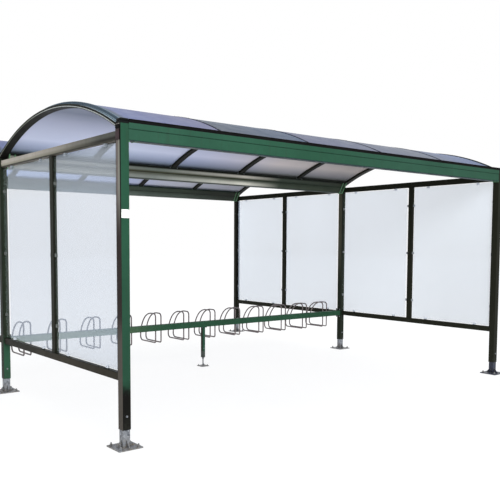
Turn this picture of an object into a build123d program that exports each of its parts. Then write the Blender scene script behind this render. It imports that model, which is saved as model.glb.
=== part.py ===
from build123d import *
import math
import os

# Open bicycle shelter: six steel posts, two parallel barrel vaults that share a
# valley gutter, glazed end walls and a wheel rack along the middle row of posts.
# Millimetres. X runs along the length, -Y is the open front, +Z is up, and the
# origin is at ground level in the middle of the footprint.

# ---------------------------------------------------------------- dimensions
POST_X = 2465.0          # post centre line, left and right
ROW_Y = 2500.0           # front and rear post rows; the middle row is at 0
POST = 70.0              # square post
POST_WALL = 3.0
POST_R = 4.0             # outer corner radius of the post tube
POST_Z0 = 138.0          # lower end of the post above its foot
POST_Z1 = 2392.0
CAP_T = 18.0             # plastic post cap

STUB = 60.0              # square stub of the foot, inside the post
STUB_WALL = 4.0
STUB_R = 3.0
STUB_Z1 = 320.0
PACKER_H = 60.0          # packer ring between post and stub
PLATE = 200.0
PLATE_T = 10.0
PLATE_PITCH = 150.0      # anchor hole spacing
PLATE_HOLE_R = 7.0
GUSSET_L = 45.0
GUSSET_H = 55.0
GUSSET_T = 5.0

GUT_Z0 = 2270.0          # gutter underside
GUT_T = 3.0
GUT_BOTTOM = 70.0        # flat underside, as wide as the post
GUT_LIP_Z = 2400.0       # outer lip of the front and rear gutters
GUT_FLANGE_Z = 2417.0    # top of the flange that carries the ribs
GUT_SLOPE_TOP = 150.0    # outer face to the top of the sloping wall
GUT_FLANGE = 15.0
GROOVE_Z = 2352.0        # shadow groove between the two bands of the fascia
GROOVE_H = 6.0
GROOVE_D = 5.0
BAND_STEP = 2.0
SEAL_H = 18.0
SEAL_T = 12.0

RAIL_T = 45.0            # thickness of the end-wall rails, across the wall
LOW_RAIL_Z0, LOW_RAIL_Z1 = 500.0, 560.0
UP_RAIL_Z0, UP_RAIL_Z1 = 2278.0, 2346.0
RAIL_WALL = 3.0
RAIL_R = 4.0
MULLION_Y = 1250.0
MULLION_W = 68.0
MULLION_T = 36.0
MULLION_R = 3.0
GLASS_T = 8.0
GLASS_GAP = 12.0         # gap between pane and frame, bridged by clips
CLIP_LEN = 30.0
CLIP_T = 18.0
CLIP_BITE = 12.0
CLIP_Z = (800.0, 1420.0, 2040.0)

ARC_Z = -34.0            # height of the vault's centre of curvature
ARC_Y = 1250.0           # its distance from the middle row
RIB_R0, RIB_R1 = 2695.0, 2722.0
SHEET_R1 = 2738.0        # 16 mm roof sheet on top of the ribs
COVER_R1 = 2741.0        # 3 mm cover strip on top of the sheets
RIB_X = (-1502.0, -500.0, 500.0, 1502.0)
RIB_W = 60.0
RIB_WALL = 2.5
RIB_HALF = 1150.0        # half span of an intermediate rib
ARCH_X0, ARCH_X1 = 2430.0, 2500.0
ARCH_HALF = 1215.0       # half span of an end arch, between the posts
EAVES_HALF = 1212.0      # sheet edge over the outer gutter
VALLEY_HALF = 1190.0     # sheet edge over the valley gutter
JOINT = 10.0             # gap between neighbouring sheets
SHEET_END_X = 2445.0     # sheets stop short of the outer face of the end arch
CLOSURE_T = 12.0         # strip that closes the open end of the sheets
COVER_W = 20.0

BAR_Z0, BAR_Z1 = 495.0, 565.0
BAR = 70.0
BAR_WALL = 3.0
BAR_R = 4.0
HOLDER_PITCH = 400.0
HOLDERS = 12
HOOP_PITCH = 75.0        # centre distance of the two hoops of one holder
ROD_R = 8.0
HOLDER_SHIFT = -22.0      # the row of holders sits a little towards -X
HOOP_Y1 = 398.0
HOOP_Z0, HOOP_Z1 = 345.0, 691.0
HOOP_SIDE_Z = 395.0       # upper end of the outer bottom corner
HOOP_TOP_Y, HOOP_TOP_R = 140.0, 235.0
LEG = 40.0
LEG_WALL = 3.0
LEG_R = 4.0
LEG_Z0 = 190.0
SOCKET_Z0 = 112.0
STUD_R = 8.0
LEG_PLATE = 110.0
LEG_PLATE_T = 8.0
LEG_PLATE_PITCH = 80.0
LEG_PLATE_HOLE_R = 5.0

LABEL = 62.0
LABEL_T = 1.5
LABEL_Z0 = 1710.0


# ------------------------------------------------------------------- helpers
def block(x0, x1, y0, y1, z0, z1):
    return Pos((x0 + x1) / 2, (y0 + y1) / 2, (z0 + z1) / 2) * Box(x1 - x0, y1 - y0, z1 - z0)


def rounded(width, depth, radius, length):
    """Bar of rounded rectangular section along +Z from the origin."""
    return extrude(RectangleRounded(width, depth, radius), amount=length, dir=(0, 0, 1))


def tube(width, depth, wall, radius, length):
    inner = rounded(width - 2 * wall, depth - 2 * wall, max(radius - wall, 1.0), length + 2)
    return rounded(width, depth, radius, length) - Pos(0, 0, -1) * inner


def square_tube(cx, cy, size, wall, radius, z0, z1):
    return Pos(cx, cy, z0) * tube(size, size, wall, radius, z1 - z0)


def rod_z(cx, cy, r, z0, z1):
    return Pos(cx, cy, (z0 + z1) / 2) * Cylinder(r, z1 - z0)


def prism_x(points, x0, x1):
    """Closed (y, z) outline extruded along X."""
    outline = Polyline([(x0, y, z) for y, z in points], close=True)
    return extrude(make_face(outline), amount=x1 - x0, dir=(1, 0, 0))


def write(name, pieces):
    solids = []
    for piece in pieces:
        solids.extend(piece.solids())
    shape = solids[0] if len(solids) == 1 else Compound(children=solids)
    shape.label = name
    export_step(shape, f"parts/{name}.step")


os.makedirs("parts", exist_ok=True)

SIDES = {"left": -1, "right": 1}
ROWS = {"front": -1, "middle": 0, "rear": 1}


# ------------------------------------------------------------ posts and feet
def make_post(cx, cy):
    post = square_tube(cx, cy, POST, POST_WALL, POST_R, POST_Z0, POST_Z1)
    inside = POST - 2 * POST_WALL
    ring = square_tube(cx, cy, inside, (inside - STUB) / 2, POST_R - POST_WALL, POST_Z0, POST_Z0 + PACKER_H)
    return post + ring


def make_foot(cx, cy):
    p = PLATE / 2
    plate = block(cx - p, cx + p, cy - p, cy + p, 0, PLATE_T)
    for sx in (-1, 1):
        for sy in (-1, 1):
            plate -= rod_z(cx + sx * PLATE_PITCH / 2, cy + sy * PLATE_PITCH / 2, PLATE_HOLE_R, -1, PLATE_T + 1)
    foot = plate + square_tube(cx, cy, STUB, STUB_WALL, STUB_R, PLATE_T, STUB_Z1)
    s = STUB / 2
    tri = Polyline([(s, 0, PLATE_T), (s + GUSSET_L, 0, PLATE_T), (s, 0, PLATE_T + GUSSET_H)], close=True)
    gusset = Pos(0, GUSSET_T / 2, 0) * extrude(make_face(tri), amount=GUSSET_T, dir=(0, -1, 0))
    for k in range(4):
        foot += Pos(cx, cy, 0) * (Rot(0, 0, 90 * k) * gusset)
    return foot


for row, ry in ROWS.items():
    for side, sx in SIDES.items():
        cx, cy = sx * POST_X, ry * ROW_Y
        write(f"{row}_{side}_post", [make_post(cx, cy)])
        write(f"{row}_{side}_foot", [make_foot(cx, cy)])

caps = []
for ry in ROWS.values():
    for sx in SIDES.values():
        cx, cy = sx * POST_X, ry * ROW_Y
        top = rounded(POST, POST, POST_R, CAP_T)
        top = chamfer(top.edges().group_by(Axis.Z)[-1], 3)
        plug = rounded(POST - 2 * POST_WALL, POST - 2 * POST_WALL, 2.0, 12)
        caps.append(Pos(cx, cy, POST_Z1) * top + Pos(cx, cy, POST_Z1 - 12) * plug)
write("post_caps", caps)


# ------------------------------------------------------------------- gutters
def eaves_outline():
    """(inward distance, z) outline of the folded front or rear gutter."""
    t, b = GUT_T, BAND_STEP
    gz0, gz1 = GROOVE_Z, GROOVE_Z + GROOVE_H
    gd = BAND_STEP + GROOVE_D
    run = GUT_SLOPE_TOP - GUT_BOTTOM
    rise = GUT_FLANGE_Z - t - GUT_Z0
    # horizontal width of the sloping sheet, for a true thickness of t
    w = t * math.hypot(run, rise) / rise
    slope = run / rise
    yi0 = GUT_BOTTOM - w + slope * t
    return [
        (b, GUT_Z0), (b, gz0), (gd, gz0), (gd, gz1), (0, gz1), (0, GUT_LIP_Z),
        (t, GUT_LIP_Z), (t, gz1 + t), (gd + t, gz1 + t), (gd + t, gz0 - t), (b + t, gz0 - t), (b + t, GUT_Z0 + t),
        (yi0, GUT_Z0 + t), (GUT_SLOPE_TOP - w + slope * t, GUT_FLANGE_Z), (GUT_SLOPE_TOP + GUT_FLANGE, GUT_FLANGE_Z),
        (GUT_SLOPE_TOP + GUT_FLANGE, GUT_FLANGE_Z - t), (GUT_SLOPE_TOP, GUT_FLANGE_Z - t), (GUT_BOTTOM, GUT_Z0),
    ]


GUT_X = POST_X - POST / 2          # gutters and rack bar fit between the posts
OUTER_Y = ROW_Y + POST / 2


def end_plate_eaves():
    return [(BAND_STEP, GUT_Z0), (BAND_STEP, GROOVE_Z), (BAND_STEP + GROOVE_D, GROOVE_Z),
            (BAND_STEP + GROOVE_D, GROOVE_Z + GROOVE_H), (0, GROOVE_Z + GROOVE_H), (0, GUT_LIP_Z),
            (GUT_SLOPE_TOP - 10, GUT_LIP_Z), (GUT_BOTTOM, GUT_Z0)]


for name, s in (("front_gutter", -1), ("rear_gutter", 1)):
    pts = [(s * (OUTER_Y - d), z) for d, z in eaves_outline()]
    gutter = prism_x(pts, -GUT_X, GUT_X)
    ends = [(s * (OUTER_Y - d), z) for d, z in end_plate_eaves()]
    for x0, x1 in ((-GUT_X, -GUT_X + GUT_T), (GUT_X - GUT_T, GUT_X)):
        gutter += prism_x(ends, x0, x1)
    write(name, [gutter])

h0 = GUT_BOTTOM / 2
h1 = GUT_SLOPE_TOP - GUT_BOTTOM / 2
run, rise = h1 - h0, GUT_FLANGE_Z - GUT_T - GUT_Z0
w = GUT_T * math.hypot(run, rise) / rise
slope = run / rise
i0 = h0 - w + slope * GUT_T
i1 = h1 - w + slope * GUT_T
f1 = h1 + GUT_FLANGE
half = [(h0, GUT_Z0), (h1, GUT_FLANGE_Z - GUT_T), (f1, GUT_FLANGE_Z - GUT_T), (f1, GUT_FLANGE_Z),
        (i1, GUT_FLANGE_Z), (i0, GUT_Z0 + GUT_T)]
valley = prism_x(half + [(-y, z) for y, z in reversed(half)], -GUT_X, GUT_X)
plate_top = h0 + (GUT_LIP_Z - GUT_Z0) * slope
plate = [(h0, GUT_Z0), (plate_top, GUT_LIP_Z), (-plate_top, GUT_LIP_Z), (-h0, GUT_Z0)]
for x0, x1 in ((-GUT_X, -GUT_X + GUT_T), (GUT_X - GUT_T, GUT_X)):
    valley += prism_x(plate, x0, x1)
write("valley_gutter", [valley])

seals = []
for s in (-1, 1):
    y0, y1 = sorted((s * OUTER_Y, s * (OUTER_Y - SEAL_T)))
    seal = block(-GUT_X, GUT_X, y0, y1, GUT_LIP_Z, GUT_LIP_Z + SEAL_H)
    seals.append(seal)
write("gutter_edge_seals", seals)


# ----------------------------------------------------------------- end walls
def rail(cx, y0, y1, z0, z1):
    return Pos(cx, y1, (z0 + z1) / 2) * (Rot(90, 0, 0) * tube(RAIL_T, z1 - z0, RAIL_WALL, RAIL_R, y1 - y0))


BAY_Y = ((-ROW_Y + POST / 2, -POST / 2), (POST / 2, ROW_Y - POST / 2))
for side, sx in SIDES.items():
    cx = sx * POST_X
    write(f"{side}_lower_rail", [rail(cx, y0, y1, LOW_RAIL_Z0, LOW_RAIL_Z1) for y0, y1 in BAY_Y])
    write(f"{side}_upper_rail", [rail(cx, y0, y1, UP_RAIL_Z0, UP_RAIL_Z1) for y0, y1 in BAY_Y])

mullions = []
for sx in SIDES.values():
    for sy in (-1, 1):
        cx, cy = sx * POST_X, sy * MULLION_Y
        m = tube(MULLION_T, MULLION_W, RAIL_WALL, MULLION_R, UP_RAIL_Z0 - LOW_RAIL_Z1)
        mullions.append(Pos(cx, cy, LOW_RAIL_Z1) * m)
write("wall_mullions", mullions)

PANES = {}
for bay, sy in (("front", -1), ("rear", 1)):
    lo, hi = sorted((sy * POST / 2, sy * (MULLION_Y - MULLION_W / 2)))
    lo2, hi2 = sorted((sy * (MULLION_Y + MULLION_W / 2), sy * (ROW_Y - POST / 2)))
    PANES[bay] = ((lo, hi), (lo2, hi2))

clips = []
for side, sx in SIDES.items():
    cx = sx * POST_X
    for bay, frames in PANES.items():
        panes = []
        for y0, y1 in frames:
            z0, z1 = LOW_RAIL_Z1, UP_RAIL_Z0
            g = GLASS_GAP
            panes.append(block(cx - GLASS_T / 2, cx + GLASS_T / 2, y0 + g, y1 - g, z0 + g, z1 - g))
            reach = g + CLIP_BITE
            spots = []
            for z in CLIP_Z:
                spots.append((y0, y0 + reach, z - CLIP_LEN / 2, z + CLIP_LEN / 2))
                spots.append((y1 - reach, y1, z - CLIP_LEN / 2, z + CLIP_LEN / 2))
            for y in (y0 + 230, y1 - 230):
                spots.append((y - CLIP_LEN / 2, y + CLIP_LEN / 2, z0, z0 + reach))
                spots.append((y - CLIP_LEN / 2, y + CLIP_LEN / 2, z1 - reach, z1))
            for a0, a1, b0, b1 in spots:
                clip = block(cx - CLIP_T / 2, cx + CLIP_T / 2, a0, a1, b0, b1)
                clips.append(clip - panes[-1])
        write(f"{side}_{bay}_glass", panes)
write("glass_clips", clips)


# --------------------------------------------------------------------- roof
def arc_band(r0, r1, x0, x1, cy, y_lo, y_hi):
    """Piece of the vault shell between two radii, cut by vertical planes."""
    ring = Cylinder(r1, x1 - x0) - Cylinder(r0, x1 - x0 + 2)
    ring = Pos((x0 + x1) / 2, cy, ARC_Z) * (Rot(0, 90, 0) * ring)
    return ring & block(x0, x1, y_lo, y_hi, 2000, 3000)


def arc_tube(x0, x1, cy, y_lo, y_hi):
    k = RIB_WALL
    outer = arc_band(RIB_R0, RIB_R1, x0, x1, cy, y_lo, y_hi)
    return outer - arc_band(RIB_R0 + k, RIB_R1 - k, x0 + k, x1 - k, cy, y_lo - 5, y_hi + 5)


for bay, sy in (("front", -1), ("rear", 1)):
    cy = sy * ARC_Y
    for side, sx in SIDES.items():
        x0, x1 = sorted((sx * ARCH_X0, sx * ARCH_X1))
        write(f"{bay}_{side}_arch", [arc_tube(x0, x1, cy, cy - ARCH_HALF, cy + ARCH_HALF)])
    ribs = []
    for x in RIB_X:
        rib = arc_tube(x - RIB_W / 2, x + RIB_W / 2, cy, cy - RIB_HALF, cy + RIB_HALF)
        ribs.append(rib & block(x - RIB_W, x + RIB_W, cy - 1300, cy + 1300, GUT_FLANGE_Z, 3000))
    write(f"{bay}_ribs", ribs)
    edges = (-SHEET_END_X,) + RIB_X + (SHEET_END_X,)
    y_lo, y_hi = sorted((sy * (ARC_Y + EAVES_HALF), sy * (ARC_Y - VALLEY_HALF)))
    sheets = []
    for k in range(5):
        x0 = edges[k] + (JOINT / 2 if k > 0 else 0)
        x1 = edges[k + 1] - (JOINT / 2 if k < 4 else 0)
        sheets.append(arc_band(RIB_R1, SHEET_R1, x0, x1, cy, y_lo, y_hi))
    write(f"{bay}_roof_sheets", sheets)

covers = []
for sy in (-1, 1):
    cy = sy * ARC_Y
    y_lo, y_hi = sorted((sy * (ARC_Y + EAVES_HALF), sy * (ARC_Y - VALLEY_HALF)))
    for x in RIB_X:
        covers.append(arc_band(SHEET_R1, COVER_R1, x - COVER_W / 2, x + COVER_W / 2, cy, y_lo, y_hi))
    for sx in (-1, 1):
        x0, x1 = sorted((sx * SHEET_END_X, sx * (SHEET_END_X + CLOSURE_T)))
        covers.append(arc_band(RIB_R1, COVER_R1, x0, x1, cy, y_lo, y_hi))
write("roof_cover_strips", covers)


# --------------------------------------------------------------------- rack
bar = tube(BAR_Z1 - BAR_Z0, BAR, BAR_WALL, BAR_R, 2 * GUT_X)
write("rack_bar", [Pos(-GUT_X, 0, (BAR_Z0 + BAR_Z1) / 2) * (Rot(0, 90, 0) * bar)])

write("rack_leg", [square_tube(0, 0, LEG, LEG_WALL, LEG_R, LEG_Z0, BAR_Z0)])
socket = Pos(0, 0, SOCKET_Z0) * rounded(LEG, LEG, LEG_R, LEG_Z0 - SOCKET_Z0)
plug = LEG - 2 * LEG_WALL
socket += Pos(0, 0, LEG_Z0) * rounded(plug, plug, 2.0, 60)
write("rack_leg_socket", [socket])
lp = LEG_PLATE / 2
leg_foot = block(-lp, lp, -lp, lp, 0, LEG_PLATE_T)
for sx in (-1, 1):
    for sy in (-1, 1):
        leg_foot -= rod_z(sx * LEG_PLATE_PITCH / 2, sy * LEG_PLATE_PITCH / 2, LEG_PLATE_HOLE_R, -1, LEG_PLATE_T + 1)
leg_foot += rod_z(0, 0, STUD_R, LEG_PLATE_T, SOCKET_Z0)
write("rack_leg_foot", [leg_foot])

HOOP_Y0 = BAR / 2 + ROD_R


def hoop_path():
    """Closed centre line in the YZ plane: lines joined by tangent arcs.

    The outer side is a two-arc oval: a tighter arc over the top that runs
    into a flatter one leaning out to the bottom corner.
    """
    top_cy, top_cz = HOOP_TOP_Y, HOOP_Z1 - HOOP_TOP_R
    dy, dz = HOOP_Y1 - top_cy, top_cz - HOOP_SIDE_Z
    side_r = (dy * dy + dz * dz - HOOP_TOP_R ** 2) / (2 * (dy - HOOP_TOP_R))
    side_cy = HOOP_Y1 - side_r
    meet = math.atan2(dz, top_cy - side_cy)
    low_r = HOOP_SIDE_Z - HOOP_Z0
    quarter = math.pi / 2
    arcs = [
        (HOOP_Y0 + 22.0, HOOP_Z0 + 22.0, 22.0, 3 * quarter, 2 * quarter),
        (HOOP_Y0 + 40.0, HOOP_Z1 - 40.0, 40.0, 2 * quarter, quarter),
        (top_cy, top_cz, HOOP_TOP_R, quarter, meet),
        (side_cy, HOOP_SIDE_Z, side_r, meet, 0.0),
        (HOOP_Y1 - low_r, HOOP_SIDE_Z, low_r, 0.0, -quarter),
    ]

    def at(arc, t):
        cy, cz, r, t0, t1 = arc
        a = t0 + (t1 - t0) * t
        return (cy + r * math.cos(a), cz + r * math.sin(a))

    edges = []
    length = 0.0
    for i, arc in enumerate(arcs):
        edges.append(ThreePointArc((0, *at(arc, 0)), (0, *at(arc, 0.5)), (0, *at(arc, 1))))
        length += arc[2] * abs(arc[4] - arc[3])
        p, q = at(arc, 1), at(arcs[(i + 1) % len(arcs)], 0)
        if math.dist(p, q) > 1e-6:
            edges.append(Line((0, *p), (0, *q)))
            length += math.dist(p, q)
    return Wire(edges), length


path, hoop_length = hoop_path()
pieces = []
for edge in path.edges():
    profile = Plane(origin=edge @ 0, z_dir=edge % 0) * Circle(ROD_R)
    pieces.append(sweep(profile, path=edge))
hoop = pieces[0]
for piece in pieces[1:]:
    hoop = hoop + piece
hoop = hoop.solids()[0]
print("hoop length", round(hoop_length, 1), "volume ratio", round(hoop.volume / (math.pi * ROD_R ** 2 * hoop_length), 4))

for group in range(4):
    solids = []
    for k in range(3):
        i = group * 3 + k
        cx = (i - (HOLDERS - 1) / 2) * HOLDER_PITCH + HOLDER_SHIFT
        for s in (-1, 1):
            solids.append(Pos(cx + s * HOOP_PITCH / 2, 0, 0) * hoop)
    write(f"wheel_holders_{group * 3 + 1}_to_{group * 3 + 3}", solids)


# -------------------------------------------------------------------- label
lx = -POST_X
write("label_plate", [block(lx - LABEL / 2, lx + LABEL / 2, -OUTER_Y - LABEL_T, -OUTER_Y, LABEL_Z0, LABEL_Z0 + LABEL)])
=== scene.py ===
import math
import random

import bmesh
import bpy
from mathutils import Matrix, Vector


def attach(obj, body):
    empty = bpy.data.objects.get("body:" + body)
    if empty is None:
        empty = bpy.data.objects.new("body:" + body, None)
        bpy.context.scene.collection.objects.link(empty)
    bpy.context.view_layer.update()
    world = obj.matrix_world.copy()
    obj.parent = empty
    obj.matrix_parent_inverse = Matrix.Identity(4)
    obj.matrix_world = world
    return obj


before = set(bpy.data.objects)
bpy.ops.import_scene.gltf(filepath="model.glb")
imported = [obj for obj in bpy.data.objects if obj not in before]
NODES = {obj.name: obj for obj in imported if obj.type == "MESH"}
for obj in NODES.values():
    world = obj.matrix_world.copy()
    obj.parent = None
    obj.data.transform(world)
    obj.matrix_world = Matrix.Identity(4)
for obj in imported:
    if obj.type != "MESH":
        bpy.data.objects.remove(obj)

random.seed(4711)
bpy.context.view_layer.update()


# ------------------------------------------------------------------ camera
def make_camera():
    yaw, pitch, roll = 0.6803, -0.0712, 0.0051
    focal_px, centre_x, centre_y = 691.43, 250.87, 293.88
    fwd = Vector((math.sin(yaw) * math.cos(pitch), math.cos(yaw) * math.cos(pitch), math.sin(pitch)))
    right = Vector((math.cos(yaw), -math.sin(yaw), 0.0))
    up = right.cross(fwd)
    r2 = math.cos(roll) * right + math.sin(roll) * up
    u2 = -math.sin(roll) * right + math.cos(roll) * up
    data = bpy.data.cameras.new("camera")
    data.sensor_width = 36.0
    data.sensor_fit = "HORIZONTAL"
    data.lens = focal_px / 500.0 * 36.0
    data.shift_x = (250.0 - centre_x) / 500.0
    data.shift_y = (centre_y - 250.0) / 500.0
    data.clip_start, data.clip_end = 0.1, 200.0
    cam = bpy.data.objects.new("camera", data)
    rot = Matrix((r2, u2, -fwd)).transposed()
    cam.matrix_world = Matrix.Translation((-4.9375, -7.0489, 1.5213)) @ rot.to_4x4()
    bpy.context.scene.collection.objects.link(cam)
    bpy.context.scene.camera = cam


make_camera()
bpy.context.scene.view_settings.view_transform = "Standard"
bpy.context.scene.view_settings.look = "None"


# --------------------------------------------------------------- node tools
def lin(r, g, b):
    """sRGB 0..255 to linear RGBA."""
    out = []
    for c in (r, g, b):
        c = c / 255.0
        out.append(c / 12.92 if c <= 0.04045 else ((c + 0.055) / 1.055) ** 2.4)
    return (*out, 1.0)


class Tree:
    """Small helper that builds a shader tree."""

    def __init__(self, name):
        self.mat = bpy.data.materials.new(name)
        self.mat.use_nodes = True
        self.nt = self.mat.node_tree
        self.nt.nodes.clear()
        self.out = self.nt.nodes.new("ShaderNodeOutputMaterial")
        self.coord = self.nt.nodes.new("ShaderNodeTexCoord").outputs["Object"]
        self._n = 0

    def node(self, kind, **props):
        n = self.nt.nodes.new(kind)
        for k, v in props.items():
            setattr(n, k, v)
        return n

    def put(self, socket, value):
        if isinstance(value, bpy.types.NodeSocket):
            self.nt.links.new(value, socket)
        else:
            socket.default_value = value

    def math(self, op, a, b=None, clamp=False):
        n = self.node("ShaderNodeMath", operation=op, use_clamp=clamp)
        self.put(n.inputs[0], a)
        if b is not None:
            self.put(n.inputs[1], b)
        return n.outputs[0]

    def mapped(self, scale=(1, 1, 1), location=(0, 0, 0), rotation=(0, 0, 0), vector=None):
        n = self.node("ShaderNodeMapping")
        self.put(n.inputs["Vector"], vector or self.coord)
        n.inputs["Location"].default_value = location
        n.inputs["Rotation"].default_value = rotation
        n.inputs["Scale"].default_value = scale
        return n.outputs[0]

    def noise(self, scale, detail=3.0, rough=0.55, vector=None, distortion=0.0):
        n = self.node("ShaderNodeTexNoise")
        self.put(n.inputs["Vector"], vector or self.coord)
        n.inputs["Scale"].default_value = scale
        n.inputs["Detail"].default_value = detail
        n.inputs["Roughness"].default_value = rough
        n.inputs["Distortion"].default_value = distortion
        return n.outputs["Fac"]

    def voronoi(self, scale, vector=None, feature="F1", output="Color"):
        n = self.node("ShaderNodeTexVoronoi", feature=feature)
        self.put(n.inputs["Vector"], vector or self.coord)
        n.inputs["Scale"].default_value = scale
        return n.outputs[output]

    def span(self, value, lo, hi, to_lo=0.0, to_hi=1.0, smooth=False):
        n = self.node("ShaderNodeMapRange", clamp=True)
        if smooth:
            n.interpolation_type = "SMOOTHSTEP"
        self.put(n.inputs["Value"], value)
        n.inputs["From Min"].default_value = lo
        n.inputs["From Max"].default_value = hi
        n.inputs["To Min"].default_value = to_lo
        n.inputs["To Max"].default_value = to_hi
        return n.outputs[0]

    def mix(self, fac, a, b, blend="MIX"):
        n = self.node("ShaderNodeMix", data_type="RGBA", blend_type=blend)
        self.put(n.inputs[0], fac)
        self.put(n.inputs[6], a)
        self.put(n.inputs[7], b)
        return n.outputs[2]

    def xyz(self, vector=None):
        n = self.node("ShaderNodeSeparateXYZ")
        self.put(n.inputs[0], vector or self.coord)
        return n.outputs[0], n.outputs[1], n.outputs[2]

    def normal(self):
        g = self.node("ShaderNodeNewGeometry")
        return self.xyz(g.outputs["Normal"])

    def bump(self, height, strength, distance, normal=None):
        n = self.node("ShaderNodeBump")
        self.put(n.inputs["Height"], height)
        n.inputs["Strength"].default_value = strength
        n.inputs["Distance"].default_value = distance
        if normal is not None:
            self.put(n.inputs["Normal"], normal)
        return n.outputs[0]

    def principled(self, **values):
        n = self.node("ShaderNodeBsdfPrincipled")
        for k, v in values.items():
            self.put(n.inputs[k.replace("_", " ")], v)
        return n

    def finish(self, shader):
        self.nt.links.new(shader, self.out.inputs["Surface"])
        return self.mat


def grime(t, colour, dirt, amount=0.35, foot=0.35):
    """Streaks that run down the faces, and splashes near the ground."""
    x, y, z = t.xyz()
    streak = t.noise(1.0, 4.0, 0.6, t.mapped((26.0, 26.0, 1.3)))
    streak = t.span(streak, 0.52, 0.78, 0.0, amount, smooth=True)
    low = t.span(z, 0.0, foot, 1.0, 0.0, smooth=True)
    splash = t.math("MULTIPLY", low, t.span(t.noise(38.0, 5.0, 0.65), 0.38, 0.66, 0.0, 0.75))
    return t.mix(t.math("MAXIMUM", streak, splash), colour, dirt)


def shade(c, k):
    return tuple(min(1.0, v * k) for v in c[:3]) + (1.0,)


def paint(name, face, side, under, top=None, rough=(0.34, 0.50), streaks=0.25, seed=0.0, spec=0.03, side_fn=None, face_fn=None, dirt=None):
    """Powder-coated steel. Faces that point along X, towards the ends of the shelter, get a darker side colour of
    painted shade; faces that point down get painted shade too, and a top colour, where given, is painted light on faces
    that point up.
    """
    t = Tree(name)
    nx, ny, nz = t.normal()
    cloud = t.noise(2.2, 4.0, 0.6, t.mapped(location=(seed, seed * 0.7, 0.0)))
    fine = t.noise(46.0, 3.0, 0.6)
    tint = t.mix(t.span(cloud, 0.32, 0.70), (0.88, 0.88, 0.88, 1), (1.10, 1.10, 1.10, 1))
    tint = t.mix(t.span(fine, 0.35, 0.7, 0.0, 0.22), tint, (0.70, 0.70, 0.70, 1))
    c = face
    if face_fn:
        c = face_fn(t, c)
    s = side
    if side_fn:
        s = side_fn(t, s)
    # painted shade: side colour on faces along X, under colour on faces that point down; painted light: top colour on
    # faces that point up
    c = t.mix(t.span(t.math("ABSOLUTE", nx), 0.45, 0.75), c, s)
    c = t.mix(t.span(nz, -0.80, -0.62, 1.0, 0.0), c, under)
    if top is not None:
        c = t.mix(t.span(nz, 0.62, 0.80), c, top)
    c = t.mix(1.0, c, tint, "MULTIPLY")
    c = grime(t, c, dirt or shade(lin(70, 72, 62), 0.45), streaks)
    r = t.span(t.noise(9.0, 4.0, 0.6), 0.3, 0.7, rough[0], rough[1])
    peel = t.noise(420.0, 2.0, 0.5)
    b = t.bump(peel, 0.25, 0.0004)
    b = t.bump(fine, 0.12, 0.0010, b)
    p = t.principled(Base_Color=c, Roughness=r, Normal=b)
    p.inputs["Specular IOR Level"].default_value = spec
    return t.finish(p.outputs[0])


def galvanised(name, light, dark, metallic=0.85, cells=58.0, dirt=None):
    """Hot-dip zinc with its spangle."""
    t = Tree(name)
    col = t.voronoi(cells, output="Color")
    n = t.node("ShaderNodeSeparateColor")
    t.put(n.inputs[0], col)
    grain = n.outputs[0]
    cloud = t.noise(7.0, 4.0, 0.6)
    c = t.mix(t.span(grain, 0.0, 1.0), dark, light)
    c = t.mix(t.span(cloud, 0.35, 0.7, 0.0, 0.5), c, shade(light, 0.7))
    c = grime(t, c, dirt or lin(112, 100, 82), 0.2, 0.12)
    r = t.math("ADD", t.span(grain, 0.0, 1.0, 0.30, 0.50), t.span(cloud, 0.3, 0.7, 0.0, 0.12))
    b = t.bump(t.noise(160.0, 3.0, 0.6), 0.25, 0.0006)
    p = t.principled(Base_Color=c, Roughness=r, Normal=b)
    p.inputs["Metallic"].default_value = metallic
    return t.finish(p.outputs[0])


def plastic(name, colour, light, rough=(0.45, 0.6), bump=0.2, spec=0.15):
    t = Tree(name)
    cloud = t.noise(11.0, 4.0, 0.6)
    c = t.mix(t.span(cloud, 0.3, 0.72), colour, light)
    c = t.mix(t.span(t.noise(90.0, 3.0, 0.6), 0.52, 0.75, 0.0, 0.35), c, shade(colour, 0.6))
    r = t.span(t.noise(24.0, 3.0, 0.5), 0.3, 0.7, rough[0], rough[1])
    b = t.bump(t.noise(600.0, 2.0, 0.5), bump, 0.0004)
    p = t.principled(Base_Color=c, Roughness=r, Normal=b)
    p.inputs["Specular IOR Level"].default_value = spec
    return t.finish(p.outputs[0])


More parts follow.
